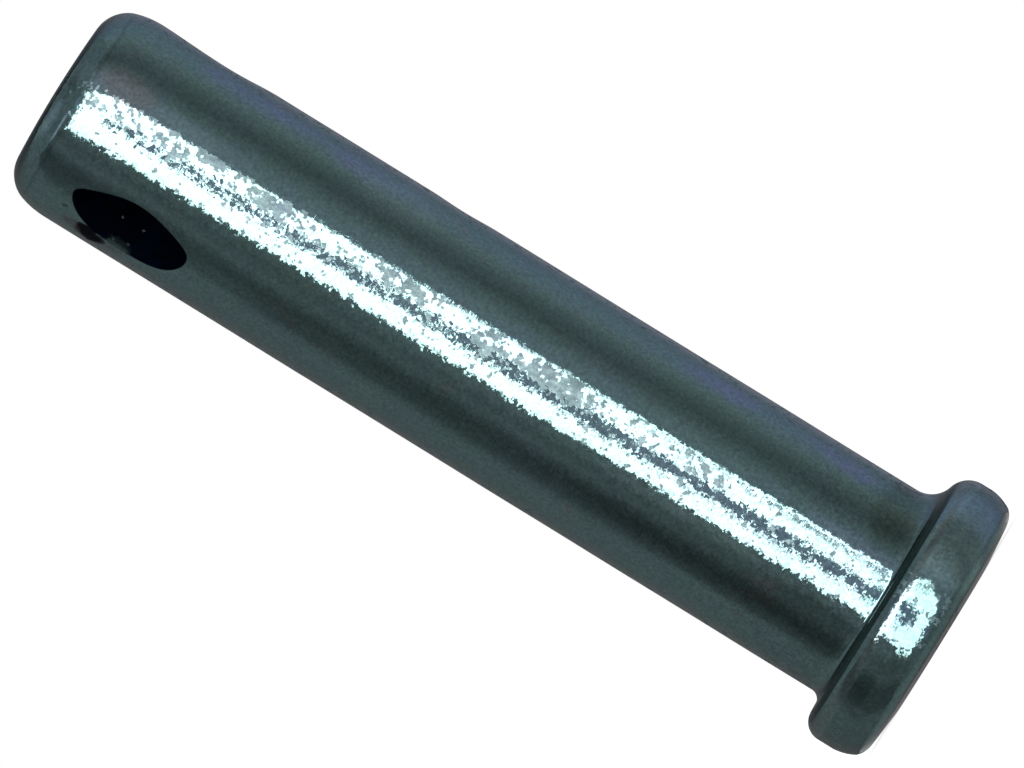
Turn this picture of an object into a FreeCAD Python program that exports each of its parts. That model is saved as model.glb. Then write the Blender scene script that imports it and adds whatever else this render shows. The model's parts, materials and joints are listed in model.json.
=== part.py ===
import FreeCAD, Part
import math
import os

# Headed pin, turned and upset from one bar. It stands on its head: the origin is the middle of
# the head's outer face and +Z runs up the shank to the tip. All sizes are millimetres.

# Shank
shank_diameter = 20.0
under_head_length = 86.0  # bearing face of the head to the very end of the tip

# Neck fillet between the shank and the bearing face
neck_radius = 1.0

# Head
head_diameter = 27.0
head_height = 6.5
head_shoulder_radius = 1.8  # rounded rim on the bearing side
head_taper_length = 2.05  # the rim draws in towards the outer face
head_taper_depth = 0.64
head_bevel_length = 0.71  # convex bevel from the taper's edge to the crown
head_bevel_depth = 1.52
head_bevel_bulge = 0.16  # how far the bevel stands out from a straight one
head_crown_height = 0.34  # shallow cone round the flat middle of the outer face
head_crown_width = 3.3

# Tip
tip_ease_length = 2.74  # the shank's side curves in before the bevel's edge
tip_ease_depth = 0.45
tip_bevel_length = 2.04  # convex bevel from that edge to the end face
tip_bevel_depth = 2.8
tip_bevel_bulge = 0.48
tip_dome_height = 0.22  # the end face is very slightly domed

# Cross slot, an oval hole right through the shank along Y, for the retaining clip
slot_length = 11.6  # along the shank
slot_width = 6.0
slot_from_tip = 12.0  # slot centre to the very end of the tip
slot_edge_break = 0.25  # chamfer round both mouths

# Radii and heights worked out from the sizes above
shank_radius = shank_diameter / 2
head_radius = head_diameter / 2
overall_length = head_height + under_head_length
neck_top = head_height + neck_radius
tip_dome_foot = overall_length - tip_dome_height
tip_bevel_foot = tip_dome_foot - tip_bevel_length
tip_ease_foot = tip_bevel_foot - tip_ease_length
slot_height = overall_length - slot_from_tip


def point(radius, height):
    """A point of the half section, which lies in the XZ plane."""
    return FreeCAD.Vector(radius, 0, height)


def line(start, end):
    """A straight stretch of the half section."""
    return Part.LineSegment(start, end).toShape()


def bulged_arc(start, end, bulge):
    """A convex arc that stands out from the straight line between its ends by bulge."""
    chord = end - start
    outward = FreeCAD.Vector(chord.z, 0, -chord.x).normalize()
    middle = (start + end) / 2 + outward * bulge
    return Part.Arc(start, middle, end).toShape()


def centred_arc(centre, radius, first, last):
    """An arc round a centre, between two angles in degrees above +X."""
    angles = [math.radians(a) for a in (first, (first + last) / 2, last)]
    places = [centre + point(math.cos(a), math.sin(a)) * radius for a in angles]
    return Part.Arc(*places).toShape()


def falling_away(reach, drop):
    """Radius and turn in degrees of an arc that leaves a line and falls drop from it in reach."""
    radius = (reach**2 + drop**2) / (2 * drop)
    return radius, math.degrees(math.asin(reach / radius))


def head_section():
    """Edges from the middle of the outer face, round the rim, to the neck's foot."""
    taper_foot = point(head_radius - head_taper_depth, head_crown_height + head_bevel_length)
    taper_top = point(head_radius, taper_foot.z + head_taper_length)
    crown_edge = point(taper_foot.x - head_bevel_depth, head_crown_height)
    flat_edge = point(crown_edge.x - head_crown_width, 0)
    shoulder_centre = point(head_radius - head_shoulder_radius, head_height - head_shoulder_radius)
    return [
        line(point(0, 0), flat_edge),
        line(flat_edge, crown_edge),
        bulged_arc(crown_edge, taper_foot, head_bevel_bulge),
        line(taper_foot, taper_top),
        line(taper_top, point(head_radius, shoulder_centre.z)),
        centred_arc(shoulder_centre, head_shoulder_radius, 0, 90),
        line(point(shoulder_centre.x, head_height), point(shank_radius + neck_radius, head_height)),
    ]


def shank_section():
    """The concave neck fillet and the plain side up to where the tip begins."""
    neck_centre = point(shank_radius + neck_radius, neck_top)
    return [
        centred_arc(neck_centre, neck_radius, 270, 180),
        line(point(shank_radius, neck_top), point(shank_radius, tip_ease_foot)),
    ]


def tip_section():
    """Edges from the plain side to the middle of the end face."""
    ease_radius, ease_turn = falling_away(tip_ease_length, tip_ease_depth)
    ease_centre = point(shank_radius - ease_radius, tip_ease_foot)
    bevel_edge = point(shank_radius - tip_ease_depth, tip_bevel_foot)
    dome_edge = point(bevel_edge.x - tip_bevel_depth, tip_dome_foot)
    dome_radius, dome_turn = falling_away(dome_edge.x, tip_dome_height)
    dome_centre = point(0, overall_length - dome_radius)
    return [
        centred_arc(ease_centre, ease_radius, 0, ease_turn),
        bulged_arc(bevel_edge, dome_edge, tip_bevel_bulge),
        centred_arc(dome_centre, dome_radius, 90 - dome_turn, 90),
    ]


def turned_blank():
    """The pin before its slot is cut: the half section turned round the Z axis."""
    axis = line(point(0, overall_length), point(0, 0))
    outline = Part.Wire(head_section() + shank_section() + tip_section() + [axis])
    return Part.Face(outline).revolve(FreeCAD.Vector(0, 0, 0), FreeCAD.Vector(0, 0, 1), 360)


def slot_cutter():
    """An oval bar along Y, long enough to stand clear of the shank on both sides."""
    middle = FreeCAD.Vector(0, -shank_diameter, slot_height)
    long_end = middle + FreeCAD.Vector(0, 0, slot_length / 2)
    short_end = middle + FreeCAD.Vector(slot_width / 2, 0, 0)
    oval = Part.Ellipse(long_end, short_end, middle)
    face = Part.Face(Part.Wire(oval.toShape()))
    return face.extrude(FreeCAD.Vector(0, 2 * shank_diameter, 0))


def slot_mouths(body):
    """The two closed edges where the slot comes out through the shank's side."""
    found = []
    for edge in body.Edges:
        middle = edge.CenterOfMass
        at_slot = abs(middle.z - slot_height) < slot_width / 10
        if edge.isClosed() and at_slot and abs(middle.y) > shank_radius / 2:
            found.append(edge)
    return found


def tensioner_pin():
    """The finished pin: turned blank, cross slot and chamfered mouths."""
    body = turned_blank().cut(slot_cutter()).removeSplitter()
    return body.makeChamfer(slot_edge_break, slot_mouths(body))


os.makedirs("parts", exist_ok=True)
pin = tensioner_pin()
pin.exportStep("parts/tensioner_pin.step")
print("tensioner_pin", pin.isValid(), len(pin.Solids), round(pin.Volume, 2), "mm3")
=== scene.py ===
import json
import math
import random

import bpy
from mathutils import Matrix, Vector, noise


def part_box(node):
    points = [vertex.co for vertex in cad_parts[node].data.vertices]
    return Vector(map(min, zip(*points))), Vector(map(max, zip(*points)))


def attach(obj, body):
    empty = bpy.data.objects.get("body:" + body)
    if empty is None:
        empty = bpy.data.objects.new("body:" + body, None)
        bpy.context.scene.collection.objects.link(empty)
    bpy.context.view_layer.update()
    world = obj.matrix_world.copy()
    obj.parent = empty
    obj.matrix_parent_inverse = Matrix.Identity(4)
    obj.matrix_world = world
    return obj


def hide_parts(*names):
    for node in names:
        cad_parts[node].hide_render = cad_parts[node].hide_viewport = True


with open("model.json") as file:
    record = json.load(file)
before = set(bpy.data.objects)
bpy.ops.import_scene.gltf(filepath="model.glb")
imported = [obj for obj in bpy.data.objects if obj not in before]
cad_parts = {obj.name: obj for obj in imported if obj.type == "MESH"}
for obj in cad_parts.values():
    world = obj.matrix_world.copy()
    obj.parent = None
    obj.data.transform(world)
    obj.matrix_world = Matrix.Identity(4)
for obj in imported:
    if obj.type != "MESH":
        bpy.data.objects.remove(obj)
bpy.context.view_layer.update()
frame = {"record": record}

# A headed pin standing on its head, tip up. The dictionaries count in mm and degrees unless a line
# says otherwise, and the scene itself is in metres.
mm = 0.001

# Sizes read from the frame
mounts = {m["name"]: m for m in frame["record"]["mounts"]}
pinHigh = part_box("tensioner_pin")[1]
pinHeight = pinHigh.z / mm
shankRadius = mounts["shank"]["dims"]["r_mm"]
headRadius = pinHigh.x / mm
slotHeight = mounts["cross_slot"]["pos_m"][2] / mm
bearingHeight = mounts["bearing_face"]["pos_m"][2] / mm

# The side that the camera sees, turned from the slot's near mouth. A turn further down is
# counted from this side, to the left as the camera sees it.
cameraSide = math.radians(47.0)
toCamera = Vector((math.sin(cameraSide), -math.cos(cameraSide), 0.0))
toLeft = Vector((-math.cos(cameraSide), -math.sin(cameraSide), 0.0))


# Outline helpers
def linePoints(start, end, steps):
    # cosine spacing, so the rings crowd towards both corners and keep them crisp
    turns = [(1 - math.cos(math.pi * i / steps)) / 2 for i in range(1, steps + 1)]
    return [(start[0] + (end[0] - start[0]) * t, start[1] + (end[1] - start[1]) * t) for t in turns]


def evenPoints(start, end, steps):
    return [
        (start[0] + (end[0] - start[0]) * i / steps, start[1] + (end[1] - start[1]) * i / steps)
        for i in range(1, steps + 1)
    ]


def arcPoints(centre, radius, first, last, steps):
    points = []
    for i in range(1, steps + 1):
        a = math.radians(first + (last - first) * i / steps)
        points.append((centre[0] + radius * math.cos(a), centre[1] + radius * math.sin(a)))
    return points


def bulgedPoints(start, end, bulge, steps):
    # arc through both ends that stands out from the straight line between them by bulge
    (x0, z0), (x1, z1) = start, end
    half = math.hypot(x1 - x0, z1 - z0) / 2
    radius = (half**2 + bulge**2) / (2 * bulge)
    outX, outZ = (z1 - z0) / (2 * half), (x0 - x1) / (2 * half)
    centre = ((x0 + x1) / 2 - outX * (radius - bulge), (z0 + z1) / 2 - outZ * (radius - bulge))
    first = math.degrees(math.atan2(z0 - centre[1], x0 - centre[0]))
    last = math.degrees(math.atan2(z1 - centre[1], x1 - centre[0]))
    return arcPoints(centre, radius, first, last, steps)


# The pin's form
pin = {
    "columns": 240,  # faces round the pin, a multiple of 4
    "neckRadius": 1.0,
    "neckChanges": ((0.0, 45.0, -0.70), (-90.0, 58.0, 1.50)),  # turn, reach, how much rounder there
    "shoulderRadius": 1.8,
    "shoulderChanges": ((-90.0, 58.0, 0.57),),
    "taperLength": 2.05,
    "taperDepth": 0.64,
    "taperBulge": 0.12,
    "bevelLength": 0.71,
    "bevelDepth": 1.52,
    "bevelBulge": 0.16,
    "crownHeight": 0.34,
    "crownWidth": 3.3,
    "tipEaseLength": 2.74,
    "tipEaseDepth": 0.45,
    "tipBevelLength": 2.04,
    "tipBevelDepth": 2.8,
    "tipBevelBulge": 0.48,
    "tipDomeHeight": 0.22,
    "slotLength": 11.6,
    "slotWidth": 6.0,
    "slotEdge": 0.08,  # rounding of the mouths
    "mouthShift": (0.11, 0.145, -0.58, -0.03, 1.1),  # how it bends aside, by powers of the way up it
    "mouthPoint": 0.17,  # how far the near mouth's upper end is drawn to a point
    "mouthBlunt": 0.04,  # and how much fuller its lower end is
    "shankStep": 0.4,  # ring spacing on the plain shank
    "slotReach": 17,  # columns and rings that the slot patch takes each way
    "slotRings": 9,
    "slotCrowding": 1.25,  # above 1 the patch's rings crowd towards the mouth
    "edgeRings": 4,
    "edgeSootAndShade": (0.15, 0.9),  # how dark the mouth's edge is where it begins, and one ring further in: painted shade at the lip
    "tunnelRings": 28,
}


def radiusAt(plain, changes, turn):
    # the forging isn't quite even round the pin
    radius = plain
    for middle, reach, more in changes:
        away = abs((turn - middle + 180) % 360 - 180) / reach
        radius += more * max(1 - away**2, 0)**2
    return radius


def headOutline(p, turn):
    taperFoot = (headRadius - p["taperDepth"], p["crownHeight"] + p["bevelLength"])
    taperTop = (headRadius, taperFoot[1] + p["taperLength"])
    crownEdge = (taperFoot[0] - p["bevelDepth"], p["crownHeight"])
    flatEdge = (crownEdge[0] - p["crownWidth"], 0.0)
    shoulderRadius = radiusAt(p["shoulderRadius"], p["shoulderChanges"], turn)
    neckRadius = radiusAt(p["neckRadius"], p["neckChanges"], turn)
    shoulder = (headRadius - shoulderRadius, bearingHeight - shoulderRadius)
    # where the two roundings would overlap they meet at one point and leave no flat between them
    across = shankRadius + neckRadius - shoulder[0]
    overlap = max(across, 0.0)
    rise = math.sqrt((shoulderRadius + neckRadius)**2 - overlap**2)
    neck = (shoulder[0] + across, shoulder[1] + rise)
    lean = math.degrees(math.asin(overlap / (shoulderRadius + neckRadius)))
    # the last number of each call is how many faces the stretch takes
    points = linePoints((0.0, 0.0), flatEdge, 14)
    points += linePoints(flatEdge, crownEdge, 8)
    points += bulgedPoints(crownEdge, taperFoot, p["bevelBulge"], 10)
    points += bulgedPoints(taperFoot, taperTop, p["taperBulge"], 10)
    points += linePoints(taperTop, (headRadius, shoulder[1]), 6)
    points += arcPoints(shoulder, shoulderRadius, 0, 90 - lean, 14)
    neckArc = arcPoints(neck, neckRadius, 270 - lean, 180, 12)
    points += evenPoints(points[-1], neckArc[0], 2) + neckArc[1:]
    return points


def tipOutline(p):
    domeFoot = pinHeight - p["tipDomeHeight"]
    bevelFoot = domeFoot - p["tipBevelLength"]
    easeFoot = bevelFoot - p["tipEaseLength"]
    easeRadius = (p["tipEaseLength"]**2 + p["tipEaseDepth"]**2) / (2 * p["tipEaseDepth"])
    easeTurn = math.degrees(math.asin(p["tipEaseLength"] / easeRadius))
    bevelEdge = (shankRadius - p["tipEaseDepth"], bevelFoot)
    domeEdge = (bevelEdge[0] - p["tipBevelDepth"], domeFoot)
    domeRadius = (domeEdge[0]**2 + p["tipDomeHeight"]**2) / (2 * p["tipDomeHeight"])
    domeTurn = math.degrees(math.asin(domeEdge[0] / domeRadius))
    points = arcPoints((shankRadius - easeRadius, easeFoot), easeRadius, 0, easeTurn, 9)
    points += bulgedPoints(bevelEdge, domeEdge, p["tipBevelBulge"], 14)
    points += arcPoints((0.0, pinHeight - domeRadius), domeRadius, 90 - domeTurn, 90, 16)
    return easeFoot, points[:-1]


def pinOutline(p, turn):
    # points from the middle of the head's face to the middle of the tip, both middles left out
    head = headOutline(p, turn)
    easeFoot, tip = tipOutline(p)
    reach = p["slotReach"] * p["shankStep"]
    patchLow = (shankRadius, slotHeight - reach)
    patchHigh = (shankRadius, slotHeight + reach)
    steps = round((patchLow[1] - bearingHeight) / p["shankStep"])
    rings = head + evenPoints(head[-1], patchLow, steps)
    firstSlotRing = len(rings) - 1
    rings += evenPoints(patchLow, patchHigh, 2 * p["slotReach"])
    lastSlotRing = len(rings) - 1
    if easeFoot - patchHigh[1] > p["shankStep"] / 4:
        rings.append((shankRadius, easeFoot))
    return rings + tip, firstSlotRing, lastSlotRing


def turnedGrid(p):
    # lathe grid with a window left open at each mouth of the slot; column 0 faces -Y
    columns = p["columns"]
    step = 2 * math.pi / columns
    outlines = []
    for c in range(columns):
        turn = math.degrees(cameraSide - step * c)
        rings, firstSlotRing, lastSlotRing = pinOutline(p, turn)
        outlines.append([(r * math.sin(step * c), -r * math.cos(step * c), z) for r, z in rings])
    verts = [(0.0, 0.0, 0.0)]
    for ring in zip(*outlines):
        verts += ring
    verts.append((0.0, 0.0, pinHeight))

    def at(ring, column):
        return 1 + ring * columns + column % columns

    def inWindow(ring, column):
        if not firstSlotRing <= ring < lastSlotRing:
            return False
        for middle in (0, columns // 2):
            offset = (column - middle + columns // 2) % columns - columns // 2
            if -p["slotReach"] <= offset < p["slotReach"]:
                return True
        return False

    faces = [(0, at(0, c + 1), at(0, c)) for c in range(columns)]
    for ring in range(len(rings) - 1):
        for c in range(columns):
            if not inWindow(ring, c):
                faces.append((at(ring, c), at(ring, c + 1), at(ring + 1, c + 1), at(ring + 1, c)))
    last = len(rings) - 1
    faces += [(at(last, c), at(last, c + 1), len(verts) - 1) for c in range(columns)]
    return verts, faces, at, firstSlotRing, lastSlotRing


def windowLoop(p, firstSlotRing, lastSlotRing):
    # (column offset, ring) of the window's rim, once round from its lower left corner
    reach = p["slotReach"]
    loop = [(c, firstSlotRing) for c in range(-reach, reach)]
    loop += [(reach, r) for r in range(firstSlotRing, lastSlotRing)]
    loop += [(c, lastSlotRing) for c in range(reach, -reach, -1)]
    loop += [(-reach, r) for r in range(lastSlotRing, firstSlotRing, -1)]
    return loop


def mouthAt(p, turn, grow, isNear):
    # point of a mouth's oval, moved out by grow along the oval's normal
    longHalf, shortHalf = p["slotLength"] / 2, p["slotWidth"] / 2
    x, z = shortHalf * math.cos(turn), longHalf * math.sin(turn)
    nx, nz = longHalf * math.cos(turn), shortHalf * math.sin(turn)
    size = math.hypot(nx, nz)
    x, z = x + grow * nx / size, z + grow * nz / size
    if isNear:
        rise = z / longHalf
        x *= 1 - p["mouthPoint"] * max(rise, 0)**2 + p["mouthBlunt"] * min(rise, 0)**2
        x += sum(shift * rise**power for power, shift in enumerate(p["mouthShift"]))
    return x, z


def slotPatch(p, verts, faces, at, firstSlotRing, lastSlotRing):
    # rings from each window in to the mouth, a rounded edge, then the wall through to the other side;
    # gives back how dark each new vertex is, soot and painted shade in the slot
    loop = windowLoop(p, firstSlotRing, lastSlotRing)
    count = len(loop)
    columns = p["columns"]
    outerSootAndShade, innerSootAndShade = p["edgeSootAndShade"]
    stepAngle = 2 * math.pi / columns
    halfRings = (lastSlotRing - firstSlotRing) / 2
    rim = []
    for offset, ring in loop:
        u = offset / p["slotReach"]
        v = (ring - firstSlotRing - halfRings) / halfRings
        rim.append((offset, v, math.atan2(v, u)))

    sootAndShade = {}
    wallStarts = []
    for side in (-1, 1):
        isNear = side < 0
        middle = 0 if isNear else columns // 2
        previous = [at(ring, middle - side * offset) for offset, ring in loop]
        layers = []
        for k in range(1, p["slotRings"] + 1):
            share = 1 - (1 - k / p["slotRings"])**p["slotCrowding"]
            layer = []
            for offset, v, turn in rim:
                x, z = mouthAt(p, turn, p["slotEdge"], isNear)
                angle = offset * stepAngle * (1 - share) + math.asin(x / shankRadius) * share
                height = v * halfRings * p["shankStep"] * (1 - share) + z * share
                layer.append((shankRadius * math.sin(angle), shankRadius * math.cos(angle), height))
            layers.append((layer, outerSootAndShade if k == p["slotRings"] else 0.0))
        for k in range(1, p["edgeRings"] + 1):
            bend = math.pi / 2 * k / p["edgeRings"]
            layer = []
            for offset, v, turn in rim:
                x, z = mouthAt(p, turn, p["slotEdge"] * (1 - math.sin(bend)), isNear)
                depth = p["slotEdge"] * (1 - math.cos(bend))
                layer.append((x, math.sqrt(shankRadius**2 - x * x) - depth, z))
            layers.append((layer, innerSootAndShade if k == 1 else 1.0))
        for layer, sootAndShadeLevel in layers:
            start = len(verts)
            verts += [(x, side * y, slotHeight + z) for x, y, z in layer]
            current = list(range(start, start + count))
            sootAndShade.update((v, sootAndShadeLevel) for v in current)
            for i in range(count):
                j = (i + 1) % count
                quad = (previous[i], previous[j], current[j], current[i])
                faces.append(quad if isNear else quad[::-1])
            previous = current
        wallStarts.append(previous)

    near, far = wallStarts
    previous = near
    for k in range(1, p["tunnelRings"] + 1):
        if k == p["tunnelRings"]:
            current = far
        else:
            share = k / p["tunnelRings"]
            start = len(verts)
            for a, b in zip(near, far):
                verts.append(tuple(m + (n - m) * share for m, n in zip(verts[a], verts[b])))
            current = list(range(start, start + count))
            sootAndShade.update((v, 1.0) for v in current)
        for i in range(count):
            j = (i + 1) % count
            faces.append((previous[i], previous[j], current[j], current[i]))
        previous = current
    return sootAndShade


# Wear in the metal itself
wear = {
    "dents": (  # turn, height, reach round, reach up, reach down, depth
        (-96.0, 80.4, 4.2, 7.6, 5.0, 0.29),
        (-90.0, 56.0, 2.6, 3.4, 3.4, 0.09),
    ),
    "mouthSink": 0.06,  # the metal is drawn in a little round both mouths
    "mouthReach": 2.4,
    "wave": 0.016,  # the side isn't quite true
    "waveLength": 9.0,
    "sound": 0.86,  # share of the shank's radius within which nothing is worn
    "nickRings": ((90.1, 12), (1.05, 16), (3.1, 10), (5.6, 8)),  # height, how many
    "nickDrift": 0.2,  # how far a nick strays from its ring
    "nickSize": (0.35, 0.9),
    "nickDepth": (0.02, 0.07),
    "seed": 5,
}


def scatterNicks(w):
    dice = random.Random(w["seed"])
    drift = w["nickDrift"]
    nicks = []
    for height, count in w["nickRings"]:
        for _ in range(count):
            size = dice.uniform(*w["nickSize"])
            place = (dice.uniform(-180, 180), height + dice.uniform(-drift, drift))
            nicks.append((*place, size, size, size, dice.uniform(*w["nickDepth"])))
    return nicks


def hollowDepth(hollows, turn, radius, z):
    depth = 0.0
    for middle, height, reachRound, reachUp, reachDown, deep in hollows:
        along = (z - height) / (reachUp if z > height else reachDown)
        if abs(along) < 1:
            around = math.radians((turn - middle + 180) % 360 - 180) * radius / reachRound
            depth += deep * max(1 - along**2 - around**2, 0)**2
    return depth


def wearMesh(w, p, verts):
    hollows = list(w["dents"]) + scatterNicks(w)
    longHalf, shortHalf = p["slotLength"] / 2, p["slotWidth"] / 2
    worn = []
    for x, y, z in verts:
        radius = math.hypot(x, y)
        if radius < w["sound"] * shankRadius:
            worn.append((x, y, z))
            continue
        place = Vector((x, y, z))
        turn = math.degrees(math.atan2(place.dot(toLeft), place.dot(toCamera)))
        depth = w["wave"] * noise.noise(place / w["waveLength"]) + hollowDepth(hollows, turn, radius, z)
        sideways = shankRadius * math.atan2(abs(x), abs(y))
        fromMouth = (math.hypot(sideways / shortHalf, (z - slotHeight) / longHalf) - 1) * shortHalf
        if fromMouth < w["mouthReach"]:
            depth += w["mouthSink"] * (1 - max(fromMouth, 0) / w["mouthReach"])**2
        scale = (radius - depth) / radius
        worn.append((x * scale, y * scale, z))
    return worn


def makePin(p, w):
    verts, faces, at, firstSlotRing, lastSlotRing = turnedGrid(p)
    sootAndShade = slotPatch(p, verts, faces, at, firstSlotRing, lastSlotRing)
    verts = wearMesh(w, p, verts)
    used = sorted({v for face in faces for v in face})
    renumbered = {old: new for new, old in enumerate(used)}
    mesh = bpy.data.meshes.new("pinBody")
    mesh.from_pydata(
        [Vector(verts[v]) * mm for v in used], [], [[renumbered[v] for v in face] for face in faces]
    )
    mesh.polygons.foreach_set("use_smooth", [True] * len(faces))
    layer = mesh.attributes.new("sootAndShade", "FLOAT", "POINT")
    layer.data.foreach_set("value", [sootAndShade.get(v, 0.0) for v in used])
    mesh.update()
    body = bpy.data.objects.new("pinBody", mesh)
    bpy.context.scene.collection.objects.link(body)
    return body


print("pin: turning the blank, opening the slot, wearing it in")
pinBody = makePin(pin, wear)


# Node helpers
def newMaterial(name):
    material = bpy.data.materials.new(name)
    material.use_nodes = True
    tree = material.node_tree
    tree.nodes.clear()
    return material, tree, tree.nodes.new("ShaderNodeOutputMaterial")


def plug(tree, socket, value):
    # a number, a colour or vector, or another node's output
    if isinstance(value, (int, float)):
        socket.default_value = value
    elif isinstance(value, (tuple, list, Vector)):
        socket.default_value = [*value, 1.0][:len(socket.default_value)]
    elif value is not None:
        tree.links.new(value, socket)


def scaledCoords(tree, scale):
    # object coordinates counted in mm, then stretched
    coords = tree.nodes.new("ShaderNodeTexCoord")
    mapping = tree.nodes.new("ShaderNodeMapping")
    mapping.inputs["Scale"].default_value = [s / mm for s in scale]
    tree.links.new(coords.outputs["Object"], mapping.inputs["Vector"])
    return mapping.outputs["Vector"]


def noiseNode(tree, vector, detail=2.0, roughness=0.5, distortion=0.0, seed=0.0):
    tex = tree.nodes.new("ShaderNodeTexNoise")
    tex.noise_dimensions = "4D"
    tree.links.new(vector, tex.inputs["Vector"])
    tex.inputs["Scale"].default_value = 1.0
    tex.inputs["W"].default_value = seed
    tex.inputs["Detail"].default_value = detail
    tex.inputs["Roughness"].default_value = roughness
    tex.inputs["Distortion"].default_value = distortion
    return tex


def noiseAt(tree, scale, detail=2.0, roughness=0.5, distortion=0.0, seed=0.0):
    return noiseNode(tree, scaledCoords(tree, scale), detail, roughness, distortion, seed).outputs["Fac"]


def spread(tree, value, low, high, toLow=0.0, toHigh=1.0):
    # map range, smooth and clamped
    node = tree.nodes.new("ShaderNodeMapRange")
    node.interpolation_type = "SMOOTHSTEP"
    tree.links.new(value, node.inputs["Value"])
    node.inputs["From Min"].default_value = low
    node.inputs["From Max"].default_value = high
    node.inputs["To Min"].default_value = toLow
    node.inputs["To Max"].default_value = toHigh
    return node.outputs["Result"]


def maths(tree, operation, first, second=None):
    node = tree.nodes.new("ShaderNodeMath")
    node.operation = operation
    plug(tree, node.inputs[0], first)
    plug(tree, node.inputs[1], second)
    return node.outputs["Value"]


def vectorMaths(tree, operation, first, second=None, third=None):
    node = tree.nodes.new("ShaderNodeVectorMath")
    node.operation = operation
    for socket, value in zip(node.inputs, (first, second, third)):
        plug(tree, socket, value)
    return node.outputs["Value" if operation in ("DOT_PRODUCT", "LENGTH") else "Vector"]


def blendColours(tree, factor, first, second, mode="MIX"):
    node = tree.nodes.new("ShaderNodeMix")
    node.data_type = "RGBA"
    node.blend_type = mode
    plug(tree, node.inputs[0], factor)
    plug(tree, node.inputs[6], first)
    plug(tree, node.inputs[7], second)
    return node.outputs[2]


def blendValues(tree, factor, first, second):
    node = tree.nodes.new("ShaderNodeMix")
    plug(tree, node.inputs[0], factor)
    plug(tree, node.inputs[2], first)
    plug(tree, node.inputs[3], second)
    return node.outputs[0]


def between(tree, value, low, high, soft):
    # 1 from low to high, falling to 0 about both ends
    rising = spread(tree, value, low - soft, low + soft)
    falling = spread(tree, value, high - soft, high + soft, 1.0, 0.0)
    return maths(tree, "MULTIPLY", rising, falling)
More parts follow.
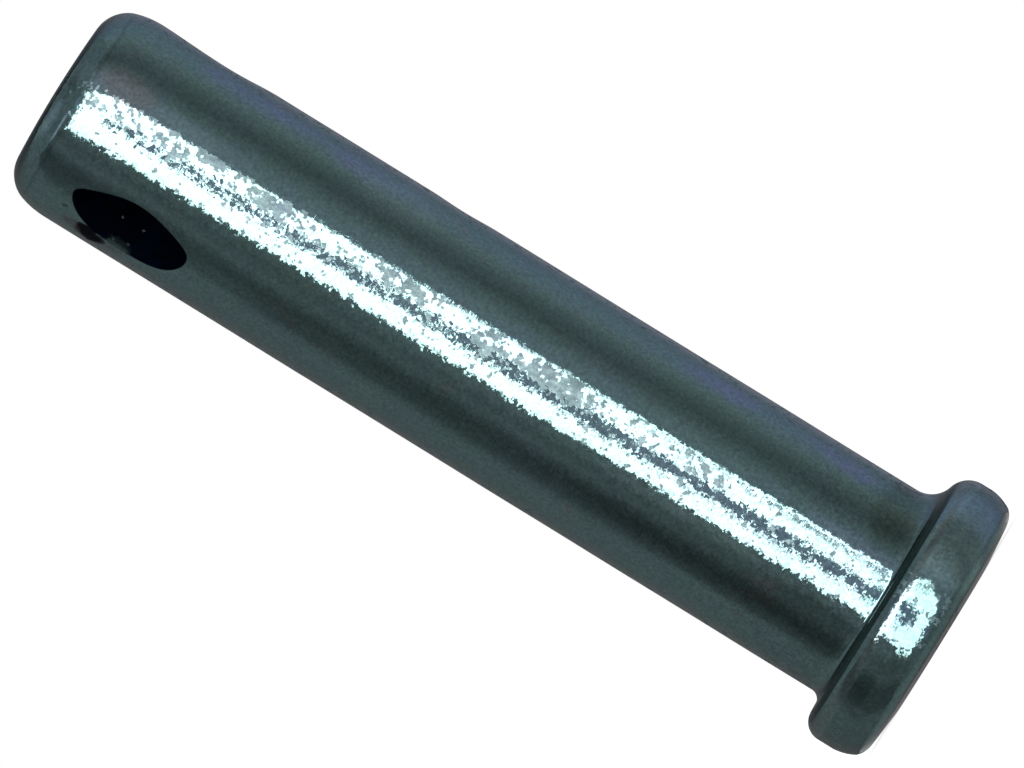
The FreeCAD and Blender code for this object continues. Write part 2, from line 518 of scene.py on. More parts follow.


# Finish: a thin blue-green film on ground steel, with soot and painted shade in the slot, and painted light
# and shade in places
violet = (0.080, 0.103, 0.140)
allRound = (-200.0, 200.0)
filmSteel = {
    "teal": (0.064, 0.106, 0.104),
    # clouds in the teal: fineness round and up, detail, roughness, bend, seed, where they begin and
    # are full, colour
    "clouds": (
        (0.22, 0.16, 4.0, 0.60, 0.6, 1.0, 0.42, 0.62, (0.066, 0.104, 0.111)),  # slate
        (0.30, 0.16, 5.0, 0.65, 0.8, 7.0, 0.60, 0.76, violet),
        (0.25, 0.14, 4.0, 0.60, 0.4, 13.0, 0.60, 0.78, (0.086, 0.092, 0.090)),  # brown
    ),
    # turn, height, reach round, reach up, colour, strength
    "marks": (
        (-60.5, 76.8, 1.8, 4.2, violet, 0.55),
        (-58.0, 64.9, 1.9, 5.0, violet, 0.85),
        (-61.0, 28.4, 1.8, 5.0, violet, 0.80),
        (-60.0, 15.1, 1.7, 3.6, violet, 0.80),
        (-58.8, 2.7, 2.2, 1.3, violet, 0.90),
        (-62.0, 80.9, 1.6, 1.8, violet, 0.60),
        (-62.5, 73.1, 1.5, 5.0, violet, 0.60),
        (-61.5, 27.0, 1.6, 3.0, violet, 0.80),
        (-63.0, 18.0, 1.2, 2.2, violet, 0.60),
        (-58.0, 14.0, 1.5, 1.8, violet, 0.60),
        (-19.7, 10.7, 1.0, 3.2, violet, 0.40),
        # painted lighter and darker streaks along the shank, standing in for the brighter and darker parts
        # of its reflection
        (-17.5, 85.5, 1.5, 12.0, (0.090, 0.132, 0.140), 0.75),
        (-52.0, 61.5, 4.0, 5.0, (0.080, 0.120, 0.126), 0.60),
        (-16.8, 11.5, 1.0, 6.0, (0.092, 0.134, 0.150), 0.70),
        (16.0, 25.0, 0.9, 11.0, (0.086, 0.132, 0.134), 0.75),
        (43.0, 17.0, 1.4, 15.0, (0.084, 0.136, 0.136), 0.75),
        (43.0, 71.0, 1.3, 5.5, (0.080, 0.132, 0.132), 0.65),
        (33.0, 22.0, 2.4, 16.0, (0.044, 0.070, 0.069), 0.45),
        (15.9, 80.0, 0.85, 27.0, (0.041, 0.068, 0.066), 0.45),
        (22.5, 11.0, 1.2, 5.5, (0.046, 0.074, 0.074), 0.75),
        (33.0, 88.0, 1.6, 3.2, (0.046, 0.078, 0.078), 0.60),
        (-50.0, 9.2, 6.0, 2.8, (0.042, 0.066, 0.060), 0.80),
        # painted lighter reflection on the head's right side
        (-29.0, 3.1, 2.6, 3.6, (0.118, 0.182, 0.186), 0.85),
        (-55.0, 3.1, 2.8, 3.6, (0.088, 0.136, 0.158), 0.85),
        # brown hazes by the mouth and the tip
        (66.0, 84.9, 1.00, 1.5, (0.050, 0.048, 0.046), 0.65),
        (67.0, 81.0, 0.90, 1.8, (0.060, 0.056, 0.056), 0.45),
        (-20.8, 87.0, 2.0, 3.5, (0.105, 0.106, 0.108), 0.60),
        (1.5, 82.2, 0.35, 0.45, (0.050, 0.056, 0.080), 0.60),
    ),
    # lowest height, highest height, softness, colour, strength, first turn, last turn
    "bands": (
        (8.0, 90.0, 0.80, (0.080, 0.108, 0.108), 0.50, -14.0, 10.0),  # painted: the film is greyer where the highlight falls, so that it reads whiter
        (89.95, 90.20, 0.15, (0.030, 0.048, 0.048), 0.45, *allRound),  # painted dark line along the tip's edge
        (90.36, 90.52, 0.07, (0.210, 0.310, 0.370), 0.80, 7.0, 24.0),  # painted highlight streaks on its bevel
        (91.10, 91.70, 0.20, (0.094, 0.140, 0.158), 0.60, 3.0, 26.0),
        (5.98, 6.60, 0.09, (0.0050, 0.0100, 0.0098), 1.00, *allRound),  # painted shade in the neck's corner
        (4.95, 5.50, 0.25, (0.074, 0.092, 0.092), 0.60, *allRound),  # the head's shoulder
        (0.95, 1.25, 0.12, (0.040, 0.064, 0.064), 0.50, *allRound),  # painted dark line along the head's lower edge
    ),
    "bandFade": 4.0,
    "wobble": (0.9, 1.8),  # how far a patch's edge is pushed about, round and up
    "grain": 3.2,  # salt and pepper, how many to the mm
    "grainShades": (0.85, 1.15),
    "crystalSize": 0.3,
    "crystalShades": (0.93, 1.07),
    "facets": {0.36: 0.050, 0.17: 0.032},  # facet size: how far it leans
    # the facets lean fully between two turns, and in the gap between the lamps gapLean times more;
    # the third number is how soft the change is
    "leanTurns": (-10.0, 22.0, 3.0),
    "leanElsewhere": 0.5,
    "gapTurns": (-7.0, 4.5, 2.0),
    "gapLean": 1.5,
    "raggedness": 0.12,
    "lineStrength": 0.25,  # turning lines round the pin
    "lineDepth": 0.02,
    "roughness": (0.055, 0.13),  # where it is bright, and where hazy
    "hazeEdge": (0.52, 0.72),
    "specular": (0.5, 0.01),  # on the film, and where it is hidden
    "grazing": 0.6,  # how much of the rim's glare is kept
    # dull flecks, gathered by a cloud
    "fleckSize": 0.24,
    "fleckCloud": 0.9,  # how wide its billows are
    "fleckEdge": (0.555, 0.575),  # how thick it is where a fleck begins and is full
    "fleckRoughness": 0.55,
    "fleckTints": ((0.80, 0.76, 0.80), (1.18, 1.10, 1.12)),
    # first turn, last turn, how much thicker the flecks lie between them
    "fleckBands": (
        (-66.0, -15.5, -0.30),
        (-15.5, -3.0, 0.016),
        (-3.0, 12.5, -0.035),
        (12.5, 70.0, -0.30),
    ),
    # turn, height, reach round, reach up, how much thicker the flecks lie there
    "dullPatches": (
        (-10.8, 17.5, 2.4, 11.5, -0.06),
        (-8.2, 79.9, 0.8, 1.2, 0.10),
        (-11.3, 77.3, 0.6, 2.2, 0.11),
        (-7.7, 70.9, 1.3, 2.8, 0.11),
        (-9.2, 57.7, 1.0, 3.2, 0.11),
        (-6.1, 48.4, 1.4, 2.0, 0.11),
        (-7.7, 41.3, 1.4, 5.0, 0.12),
        (-8.7, 25.2, 1.1, 2.4, 0.10),
        (-3.6, 15.6, 0.9, 3.0, 0.04),
    ),
    # the metal is hidden in the neck's corner, and partly under the head's edge by the floor, so that these
    # stay dark as painted shade: lowest and highest place, softness
    "neckShadeBand": (-0.42, 0.04, 0.07),  # from the bearing face
    "underShadeBand": (0.05, 0.30, 0.04),  # from the floor
    "underShadeCover": 0.54,
    # the end face at the tip is dull
    "capEdge": (1.0, 0.8),  # where that begins and is full, in shares of the dome's height
    "capColour": (0.020, 0.034, 0.034),
    "capRoughness": 0.5,
}
# the slot's near-black: painted shade in the recess, and soot
slotSootAndShade = {
    "colour": (0.0001, 0.0005, 0.0020),
    "darkest": 0.4,  # share of that colour in the darker patches
    "roughness": 0.6,
    # turn, height, reach round, reach up, strength: dark smears below the slot's mouth, and a dark spot
    "smears": (
        (69.0, 83.2, 1.20, 1.7, 1.00),
        (64.5, 83.6, 0.90, 1.2, 0.85),
        (55.3, 86.4, 0.42, 0.32, 0.24),
    ),
    "raggedEdge": 1.6,  # how far a bare spot's edge is pushed about, in shares of its reach
    "paleSpots": (  # paler spots on the slot's wall: place, reach each way, colour
        ((-2.86, -9.10, 80.5), (0.60, 0.85, 1.60), (0.0026, 0.0046, 0.0046)),
        ((-2.86, -9.35, 80.6), (0.60, 0.38, 1.80), (0.0090, 0.0145, 0.0145)),
        ((-2.84, -6.08, 81.55), (0.18, 0.18, 0.18), (0.032, 0.034, 0.040)),
        ((-2.89, -6.08, 79.33), (0.18, 0.18, 0.18), (0.032, 0.034, 0.040)),
        ((-2.83, -8.91, 81.23), (0.20, 0.20, 0.20), (0.014, 0.018, 0.018)),
        ((-2.88, -8.48, 79.83), (0.20, 0.20, 0.20), (0.014, 0.018, 0.018)),
    ),
}


def sideTurn(tree):
    # degrees to the left of the side that the camera sees
    coords = scaledCoords(tree, (1.0, 1.0, 1.0))
    leftwards = vectorMaths(tree, "DOT_PRODUCT", coords, toLeft)
    forwards = vectorMaths(tree, "DOT_PRODUCT", coords, toCamera)
    return maths(tree, "MULTIPLY", maths(tree, "ARCTAN2", leftwards, forwards), 180 / math.pi)


def heightUp(tree):
    split = tree.nodes.new("ShaderNodeSeparateXYZ")
    tree.links.new(scaledCoords(tree, (1.0, 1.0, 1.0)), split.inputs["Vector"])
    return split.outputs["Z"]


def unrolledCoords(tree, turn, wobble):
    # the surface laid flat: mm round the shank, mm up it, both pushed about a little by a noise
    flat = tree.nodes.new("ShaderNodeCombineXYZ")
    tree.links.new(maths(tree, "MULTIPLY", turn, math.radians(shankRadius)), flat.inputs["X"])
    tree.links.new(heightUp(tree), flat.inputs["Y"])
    push = noiseNode(tree, scaledCoords(tree, (1.1, 1.1, 0.8)), detail=3.0, roughness=0.6, seed=51.0)
    centred = vectorMaths(tree, "SUBTRACT", push.outputs["Color"], (0.5, 0.5, 0.5))
    return vectorMaths(tree, "MULTIPLY_ADD", centred, (*wobble, 0.0), flat.outputs["Vector"])


def patchMask(tree, flat, turn, height, reachRound, reachUp):
    # 1 in the middle of an oval patch, falling to 0 about its edge
    place = (math.radians(turn) * shankRadius, height, 0.0)
    offset = vectorMaths(tree, "SUBTRACT", flat, place)
    shares = vectorMaths(tree, "MULTIPLY", offset, (1 / reachRound, 1 / reachUp, 0.0))
    return spread(tree, vectorMaths(tree, "LENGTH", shares), 0.45, 1.1, 1.0, 0.0)


def crystalCells(tree, size, raggedness):
    # small cells whose borders are pushed about by a finer noise, so that they aren't straight
    push = noiseNode(tree, scaledCoords(tree, (9.0, 9.0, 9.0)), detail=1.0)
    coords = scaledCoords(tree, (1 / size,) * 3)
    ragged = vectorMaths(tree, "MULTIPLY_ADD", push.outputs["Color"], (raggedness / size,) * 3, coords)
    cells = tree.nodes.new("ShaderNodeTexVoronoi")
    tree.links.new(ragged, cells.inputs["Vector"])
    cells.inputs["Scale"].default_value = 1.0
    return cells


def facetNormal(tree, settings, turn):
    # plated crystals: each small cell leans its own way
    geometry = tree.nodes.new("ShaderNodeNewGeometry")
    total = geometry.outputs["Normal"]
    full = between(tree, turn, *settings["leanTurns"])
    inGap = between(tree, turn, *settings["gapTurns"])
    extra = blendValues(tree, full, settings["leanElsewhere"], 1.0)
    extra = maths(tree, "MULTIPLY", extra, blendValues(tree, inGap, 1.0, settings["gapLean"]))
    for size, lean in settings["facets"].items():
        cells = crystalCells(tree, size, settings["raggedness"])
        centred = vectorMaths(tree, "SUBTRACT", cells.outputs["Color"], (0.5, 0.5, 0.5))
        leaning = tree.nodes.new("ShaderNodeVectorMath")
        leaning.operation = "SCALE"
        tree.links.new(centred, leaning.inputs[0])
        tree.links.new(maths(tree, "MULTIPLY", extra, lean), leaning.inputs["Scale"])
        total = vectorMaths(tree, "ADD", total, leaning.outputs["Vector"])
    return vectorMaths(tree, "NORMALIZE", total)


def fleckMask(tree, settings, turn, flat):
    # whole cells are dull where a cloud, read at the cell's middle, is thick enough
    cells = crystalCells(tree, settings["fleckSize"], settings["raggedness"])
    spacing = settings["fleckSize"] / settings["fleckCloud"]
    middles = vectorMaths(tree, "MULTIPLY", cells.outputs["Position"], (spacing,) * 3)
    thickness = noiseNode(tree, middles, detail=3.0, roughness=0.75, seed=61.0).outputs["Fac"]
    for first, last, lift in settings["fleckBands"]:
        band = maths(tree, "MULTIPLY", between(tree, turn, first, last, 1.0), lift)
        thickness = maths(tree, "ADD", thickness, band)
    for *place, lift in settings["dullPatches"]:
        patch = maths(tree, "MULTIPLY", patchMask(tree, flat, *place), lift)
        thickness = maths(tree, "ADD", thickness, patch)
    return spread(tree, thickness, *settings["fleckEdge"])


def filmColour(tree, settings, turn, flat):
    # large soft clouds, then the marks, then the bands over them
    colour = settings["teal"]
    for fineRound, fineUp, detail, rough, bend, seed, thin, thick, tint in settings["clouds"]:
        cloud = noiseAt(tree, (fineRound, fineRound, fineUp), detail, rough, bend, seed)
        colour = blendColours(tree, spread(tree, cloud, thin, thick), colour, tint)
    for *place, tint, strength in settings["marks"]:
        mask = maths(tree, "MULTIPLY", patchMask(tree, flat, *place), strength)
        colour = blendColours(tree, mask, colour, tint)
    for low, high, soft, tint, strength, first, last in settings["bands"]:
        mask = maths(tree, "MULTIPLY", between(tree, heightUp(tree), low, high, soft), strength)
        mask = maths(tree, "MULTIPLY", mask, between(tree, turn, first, last, settings["bandFade"]))
        colour = blendColours(tree, mask, colour, tint)
    return colour


def filmShade(tree, settings):
    # salt and pepper, and each crystal a little lighter or darker than the next
    fine = noiseAt(tree, (settings["grain"],) * 3, roughness=0.6, seed=21.0)
    split = tree.nodes.new("ShaderNodeSeparateXYZ")
    cells = crystalCells(tree, settings["crystalSize"], settings["raggedness"])
    tree.links.new(cells.outputs["Color"], split.inputs["Vector"])
    byCell = spread(tree, split.outputs["X"], 0.0, 1.0, *settings["crystalShades"])
    shade = maths(tree, "MULTIPLY", spread(tree, fine, 0.3, 0.7, *settings["grainShades"]), byCell)
    grey = tree.nodes.new("ShaderNodeCombineXYZ")
    for socket in grey.inputs:
        tree.links.new(shade, socket)
    return grey.outputs["Vector"]


def fleckTint(tree, settings):
    # the dull flecks run from dark to light in soft streaks
    streaks = noiseAt(tree, (1.5, 1.5, 0.8), detail=3.0, roughness=0.6, seed=71.0)
    return blendColours(tree, spread(tree, streaks, 0.38, 0.62), *settings["fleckTints"])


def sootAndShadeColour(tree, settings):
    # black patches and blacker ones, painted shade in the slot as well as soot, with a few paler spots
    patches = noiseAt(tree, (0.6, 0.6, 0.6), detail=3.0, roughness=0.6, seed=3.0)
    darker = tuple(settings["darkest"] * c for c in settings["colour"])
    colour = blendColours(tree, spread(tree, patches, 0.4, 0.65), darker, settings["colour"])
    coords = scaledCoords(tree, (1.0, 1.0, 1.0))
    push = noiseNode(tree, scaledCoords(tree, (2.2, 2.2, 2.2)), detail=3.0, roughness=0.7, seed=17.0)
    centred = vectorMaths(tree, "SUBTRACT", push.outputs["Color"], (0.5, 0.5, 0.5))
    for place, reach, tint in settings["paleSpots"]:
        offset = vectorMaths(tree, "SUBTRACT", coords, place)
        shares = vectorMaths(tree, "MULTIPLY", offset, [1 / r for r in reach])
        ragged = vectorMaths(tree, "MULTIPLY_ADD", centred, (settings["raggedEdge"],) * 3, shares)
        near = spread(tree, vectorMaths(tree, "LENGTH", ragged), 0.3, 1.0, 1.0, 0.0)
        colour = blendColours(tree, near, colour, tint)
    return colour


def makeFilmSteel(settings, sootAndShadeSettings):
    material, tree, output = newMaterial("filmSteel")
    shader = tree.nodes.new("ShaderNodeBsdfPrincipled")
    tree.links.new(shader.outputs["BSDF"], output.inputs["Surface"])
    turn = sideTurn(tree)
    flat = unrolledCoords(tree, turn, settings["wobble"])
    flecks = fleckMask(tree, settings, turn, flat)
    attribute = tree.nodes.new("ShaderNodeAttribute")
    attribute.attribute_name = "sootAndShade"
    sootAndShade = attribute.outputs["Fac"]
    for *place, strength in sootAndShadeSettings["smears"]:
        smear = maths(tree, "MULTIPLY", patchMask(tree, flat, *place), strength)
        sootAndShade = maths(tree, "MAXIMUM", sootAndShade, smear)

    # soot and painted shade darken the film before they hide the metal, or its edge would show pale
    sootAndShadeTint = spread(tree, sootAndShade, 0.0, 0.5)
    sootAndShadeCover = spread(tree, sootAndShade, 0.4, 1.0)
    colour = filmColour(tree, settings, turn, flat)
    colour = blendColours(tree, 1.0, colour, filmShade(tree, settings), "MULTIPLY")
    colour = blendColours(tree, flecks, colour, fleckTint(tree, settings), "MULTIPLY")
    height = heightUp(tree)
    cap = spread(tree, height, *(pinHeight - share * pin["tipDomeHeight"] for share in settings["capEdge"]))
    colour = blendColours(tree, cap, colour, settings["capColour"])
    colour = blendColours(tree, sootAndShadeTint, colour, sootAndShadeColour(tree, sootAndShadeSettings))
    tree.links.new(colour, shader.inputs["Base Color"])

    hazy = noiseAt(tree, (0.9, 0.9, 0.6), detail=3.0, roughness=0.6, distortion=0.3, seed=31.0)
    clean = spread(tree, hazy, *settings["hazeEdge"], *settings["roughness"])
    roughness = blendValues(tree, flecks, clean, settings["fleckRoughness"])
    roughness = blendValues(tree, cap, roughness, settings["capRoughness"])
    roughness = blendValues(tree, sootAndShadeCover, roughness, sootAndShadeSettings["roughness"])
    tree.links.new(roughness, shader.inputs["Roughness"])

    # soot and painted shade in the slot, the painted shade in the neck's corner, and the end face hide the
    # metal altogether
    low, high, soft = settings["neckShadeBand"]
    neck = between(tree, height, bearingHeight + low, bearingHeight + high, soft)
    under = between(tree, height, *settings["underShadeBand"])
    hidden = maths(tree, "MAXIMUM", maths(tree, "MAXIMUM", sootAndShadeCover, neck), cap)
    covered = maths(tree, "MAXIMUM", hidden, maths(tree, "MULTIPLY", under, settings["underShadeCover"]))
    tree.links.new(maths(tree, "SUBTRACT", 1.0, covered), shader.inputs["Metallic"])
    # and they are matt from their edges on, or a pale line would show there
    matt = spread(tree, hidden, 0.0, 0.25)
    specular = blendValues(tree, matt, *settings["specular"])
    tree.links.new(specular, shader.inputs["Specular IOR Level"])

    # turning lines, under the facets
    lines = noiseAt(tree, (0.12, 0.12, 4.0), detail=3.0, roughness=0.6, seed=41.0)
    bump = tree.nodes.new("ShaderNodeBump")
    bump.inputs["Strength"].default_value = settings["lineStrength"]
    bump.inputs["Distance"].default_value = settings["lineDepth"] * mm
    tree.links.new(lines, bump.inputs["Height"])
    tree.links.new(facetNormal(tree, settings, turn), bump.inputs["Normal"])
    tree.links.new(bump.outputs["Normal"], shader.inputs["Normal"])
    shader.inputs["Specular Tint"].default_value = (settings["grazing"],) * 3 + (1.0,)
    return material


print("finish: film on steel, sooty slot")
pinBody.data.materials.append(makeFilmSteel(filmSteel, slotSootAndShade))
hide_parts("tensioner_pin")
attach(pinBody, "root")


# Camera
cameraSetup = {
    "distance": 2.8,  # metres
    "sensor": 36.0,
    "frameWidth": 90.94,  # across the picture at the pin's axis
    "roll": -58.36,  # lays the pin down across the picture, tip to the upper left
    "targetHeight": 44.37,
    "targetLeft": 0.855,
}


def makeCamera(setup):
    data = bpy.data.cameras.new("pinCamera")
    data.sensor_width = setup["sensor"]
    data.lens = data.sensor_width * setup["distance"] / (setup["frameWidth"] * mm)
    data.clip_start, data.clip_end = 0.1, 20.0
    camera = bpy.data.objects.new("pinCamera", data)
    bpy.context.scene.collection.objects.link(camera)
    target = Vector((0, 0, setup["targetHeight"] * mm)) + toLeft * setup["targetLeft"] * mm
    look = (-toCamera).to_track_quat("-Z", "Y").to_matrix().to_4x4()
    roll = Matrix.Rotation(math.radians(setup["roll"]), 4, "Z")
    camera.matrix_world = Matrix.Translation(target + toCamera * setup["distance"]) @ look @ roll
    bpy.context.scene.camera = camera


# Lamps, in metres and degrees: turns from the side that the camera sees, heights above the floor
stripLamps = {
    "away": 0.6,
    "lean": 10.0,
    "pivotHeight": 0.05,  # where a leaning strip stands at its own turns
    "radiance": 13.4,
    "strips": {  # first turn, last turn, lowest height, highest height
        "leftStrip": (4.0, 23.0, 0.0, 0.47),
        "rightStrip": (-27.0, -8.7, 0.0, 0.47),
        "footStrip": (-29.6, -27.0, 0.0, 0.045),  # makes the right strip wider near the floor
        "bridge": (-8.7, 4.0, 0.104, 0.47),  # closes the gap between them, higher up
    },
}


def makeStripLamp(name, setup):
    first, last, low, high = setup["strips"][name]
    middle = math.radians((first + last) / 2)
    half = math.radians((last - first) / 2)
    data = bpy.data.lights.new(name, "AREA")
    data.shape = "RECTANGLE"
    data.size = 2 * setup["away"] * math.tan(half)
    data.size_y = high - low
    data.energy = setup["radiance"] * math.pi * data.size * data.size_y
    lamp = bpy.data.objects.new(name, data)
    bpy.context.scene.collection.objects.link(lamp)
    outwards = toCamera * math.cos(middle) + toLeft * math.sin(middle)
    leftwards = toLeft * math.cos(middle) - toCamera * math.sin(middle)
    lean = math.radians(setup["lean"])
    upwards = Vector((0, 0, 1)) * math.cos(lean) + leftwards * math.sin(lean)
    pivot = outwards * setup["away"] + Vector((0, 0, setup["pivotHeight"]))
    centre = pivot + upwards * ((high + low) / 2 - setup["pivotHeight"])
    axes = Matrix((upwards.cross(outwards), upwards, outwards)).transposed()
    lamp.matrix_world = Matrix.Translation(centre) @ axes.to_4x4()
    lamp.visible_camera = False


# What the steel mirrors round about: turn, brightness, coolness
tent = {
    "radius": 0.8,  # metres
    "height": 0.9,
    "sides": 96,
    "stops": (
        (-180, 0.12, 0.5), (-168, 0.28, 0.6), (-152, 0.78, 1.0), (-135, 0.95, 1.0), (-118, 1.08, 0.9),
        (-102, 1.04, 0.4), (-96, 1.00, 0.1), (-88, 0.80, 0.0), (-78, 0.62, 0.0), (-69, 0.51, 0.0),
        (-64, 0.55, 0.0), (-55, 0.76, 0.0), (-42, 1.10, 0.3), (-9, 1.25, 0.8), (-2, 1.50, 1.0),
        (5, 1.25, 0.8), (20, 0.80, 0.0), (28, 0.82, 0.0), (34, 0.74, 0.0), (38, 0.55, 0.0),
        (46, 0.57, 0.0), (50, 0.63, 0.0), (60, 0.39, 0.0), (68, 0.30, 0.0), (76, 0.34, 0.0),
        (86, 0.38, 0.0), (96, 0.64, 0.0), (106, 0.71, 0.0), (132, 0.69, 0.0), (148, 0.55, 0.0),
        (162, 0.28, 0.2), (180, 0.12, 0.5),
    ),
    "cool": (-0.07, 0.0, 0.25),  # what full coolness does to red, green and blue
    "shadeTurns": (52.0, 82.0),  # darker near the floor between these turns
    "shadeFade": 8.0,
    "shadeHeights": (0.0, 0.09),
    "shadeLevels": (0.70, 1.15),
    "roofColour": (0.96, 1.0, 1.05),
    "roofLevel": 0.76,
    # forwards, leftwards, reach forwards, reach leftwards, how much brighter there
    "roofPatches": ((-0.35, 0.19, 0.60, 0.18, 0.35), (-0.20, -0.12, 0.60, 0.16, -0.25)),
}


def stageMesh(name, verts, faces, material):
    mesh = bpy.data.meshes.new(name)
    mesh.from_pydata(verts, [], faces)
    mesh.materials.append(material)
    piece = bpy.data.objects.new(name, mesh)
    bpy.context.scene.collection.objects.link(piece)
    return piece


def onlyMirrored(piece):
    # seen in the pin's reflections, where its greys draw the bands beside the highlight
    piece.rotation_euler = (0, 0, math.atan2(toCamera.y, toCamera.x))
    piece.visible_camera = False
    piece.visible_diffuse = False
    piece.visible_transmission = False
    piece.visible_shadow = False


def glowingCloth(name):
    material, tree, output = newMaterial(name)
    glow = tree.nodes.new("ShaderNodeEmission")
    tree.links.new(glow.outputs["Emission"], output.inputs["Surface"])
    coords = tree.nodes.new("ShaderNodeTexCoord")
    return material, tree, glow, coords.outputs["Object"]


def wallCloth(setup):
    material, tree, glow, coords = glowingCloth("wallCloth")
    split = tree.nodes.new("ShaderNodeSeparateXYZ")
    tree.links.new(coords, split.inputs["Vector"])
    # +Y of the turned tent is to the right of the camera, so the angle is taken the other way round
    leftwards = maths(tree, "MULTIPLY", split.outputs["Y"], -1.0)
    around = maths(tree, "ARCTAN2", leftwards, split.outputs["X"])
    share = maths(tree, "ADD", maths(tree, "DIVIDE", around, 2 * math.pi), 0.5)
    ramp = tree.nodes.new("ShaderNodeValToRGB")
    tree.links.new(share, ramp.inputs["Fac"])
    elements = ramp.color_ramp.elements
    for i, (turn, level, cool) in enumerate(setup["stops"]):
        place = (turn + 180) / 360
        if i < 2:
            stop = elements[i]
            stop.position = place
        else:
            stop = elements.new(place)
        stop.color = [level * (1 + cool * c) for c in setup["cool"]] + [1.0]
    tree.links.new(ramp.outputs["Color"], glow.inputs["Color"])
    first, last = (math.radians(a) for a in setup["shadeTurns"])
    shaded = between(tree, around, first, last, math.radians(setup["shadeFade"]))
    shade = spread(tree, split.outputs["Z"], *setup["shadeHeights"], *setup["shadeLevels"])
    tree.links.new(blendValues(tree, shaded, 1.0, shade), glow.inputs["Strength"])
    return material


def roofCloth(setup):
    material, tree, glow, coords = glowingCloth("roofCloth")
    glow.inputs["Color"].default_value = (*setup["roofColour"], 1.0)
    level = setup["roofLevel"]
    for forwards, leftwards, along, across, brighter in setup["roofPatches"]:
        offset = vectorMaths(tree, "SUBTRACT", coords, (forwards, -leftwards, 0.0))
        shares = vectorMaths(tree, "MULTIPLY", offset, (1 / along, 1 / across, 0.0))
        patch = spread(tree, vectorMaths(tree, "LENGTH", shares), 0.2, 1.0, brighter, 0.0)
        level = maths(tree, "ADD", patch, level)
    tree.links.new(level, glow.inputs["Strength"])
    return material


def makeTent(setup):
    radius, height, sides = setup["radius"], setup["height"], setup["sides"]
    turns = [2 * math.pi * i / sides for i in range(sides)]
    rim = [(radius * math.cos(a), radius * math.sin(a)) for a in turns]
    walls = [(2 * i, 2 * ((i + 1) % sides), 2 * ((i + 1) % sides) + 1, 2 * i + 1) for i in range(sides)]
    wallVerts = [(x, y, z) for x, y in rim for z in (0.0, height)]
    onlyMirrored(stageMesh("tentWall", wallVerts, walls, wallCloth(setup)))
    roofVerts = [(x, y, height) for x, y in rim]
    onlyMirrored(stageMesh("tentRoof", roofVerts, [tuple(range(sides))], roofCloth(setup)))


floorSetup = {  # metres
    "size": 1.6,
    "colour": (0.8, 0.8, 0.8),
    "whiteShare": 0.6,  # how much of the floor is seen as plain white, the rest keeps the shadow
    "white": 1.38,
    # what the pin mirrors of the floor, by how far it is from the pin's axis
    "contactShadowReach": (0.0108, 0.0122),  # painted contact shadow under the head, pale past this
    "contactShadowLevel": 0.22,
    "rimLevel": 0.66,
    "polished": (0.0130, 0.0140),  # and polished from here on
}


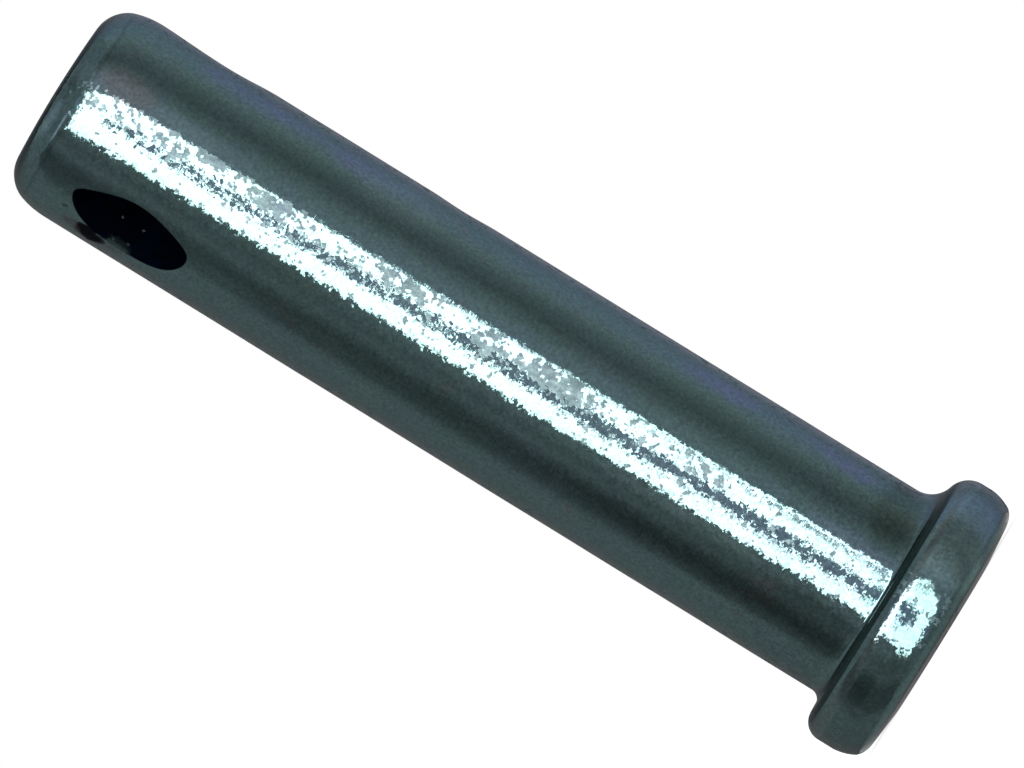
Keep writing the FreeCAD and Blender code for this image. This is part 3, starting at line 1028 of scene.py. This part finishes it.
def makeFloor(setup):
    size = setup["size"]
    material, tree, output = newMaterial("paleFloor")
    matt = tree.nodes.new("ShaderNodeBsdfDiffuse")
    matt.inputs["Color"].default_value = (*setup["colour"], 1.0)
    coords = tree.nodes.new("ShaderNodeTexCoord")
    away = vectorMaths(tree, "LENGTH", coords.outputs["Object"])
    paths = tree.nodes.new("ShaderNodeLightPath")
    mirrored = paths.outputs["Is Glossy Ray"]
    white = tree.nodes.new("ShaderNodeEmission")
    # painted contact shadow in what the pin mirrors of the floor
    contactShadow = spread(tree, away, *setup["contactShadowReach"], setup["contactShadowLevel"], setup["rimLevel"])
    level = maths(tree, "MULTIPLY", blendValues(tree, mirrored, 1.0, contactShadow), setup["white"])
    tree.links.new(level, white.inputs["Strength"])
    seen = maths(tree, "MAXIMUM", paths.outputs["Is Camera Ray"], mirrored)
    seen = maths(tree, "MAXIMUM", seen, paths.outputs["Is Transmission Ray"])
    pale = tree.nodes.new("ShaderNodeMixShader")
    tree.links.new(maths(tree, "MULTIPLY", seen, setup["whiteShare"]), pale.inputs["Fac"])
    tree.links.new(matt.outputs["BSDF"], pale.inputs[1])
    tree.links.new(white.outputs["Emission"], pale.inputs[2])
    # away from the pin its reflections find a polished floor, which carries the lamps and the tent
    # on downwards
    polished = tree.nodes.new("ShaderNodeBsdfGlossy")
    polished.inputs["Roughness"].default_value = 0.0
    far = spread(tree, away, *setup["polished"])
    mix = tree.nodes.new("ShaderNodeMixShader")
    tree.links.new(maths(tree, "MULTIPLY", far, mirrored), mix.inputs["Fac"])
    tree.links.new(pale.outputs["Shader"], mix.inputs[1])
    tree.links.new(polished.outputs["BSDF"], mix.inputs[2])
    tree.links.new(mix.outputs["Shader"], output.inputs["Surface"])
    corners = [(-size, -size, 0), (size, -size, 0), (size, size, 0), (-size, size, 0)]
    stageMesh("floor", corners, [(0, 1, 2, 3)], material)


worldSetup = {
    "roomLight": 0.6,  # what lights the pin, while the background is seen as white
    "white": 1.0,
}


def makeWorld(setup):
    world = bpy.data.worlds.new("studioWorld")
    world.use_nodes = True
    bpy.context.scene.world = world
    tree = world.node_tree
    tree.nodes.clear()
    output = tree.nodes.new("ShaderNodeOutputWorld")
    room = tree.nodes.new("ShaderNodeBackground")
    room.inputs["Color"].default_value = (1.0, 1.0, 1.0, 1.0)
    room.inputs["Strength"].default_value = setup["roomLight"]
    white = tree.nodes.new("ShaderNodeBackground")
    white.inputs["Color"].default_value = (1.0, 1.0, 1.0, 1.0)
    white.inputs["Strength"].default_value = setup["white"]
    paths = tree.nodes.new("ShaderNodeLightPath")
    seen = maths(tree, "MAXIMUM", paths.outputs["Is Camera Ray"], paths.outputs["Is Glossy Ray"])
    seen = maths(tree, "MAXIMUM", seen, paths.outputs["Is Transmission Ray"])
    mix = tree.nodes.new("ShaderNodeMixShader")
    tree.links.new(seen, mix.inputs["Fac"])
    tree.links.new(room.outputs["Background"], mix.inputs[1])
    tree.links.new(white.outputs["Background"], mix.inputs[2])
    tree.links.new(mix.outputs["Shader"], output.inputs["Surface"])


print("studio: camera, strips, tent, floor")
makeCamera(cameraSetup)
for name in stripLamps["strips"]:
    makeStripLamp(name, stripLamps)
makeTent(tent)
makeFloor(floorSetup)
makeWorld(worldSetup)
bpy.context.scene.view_settings.view_transform = "Standard"
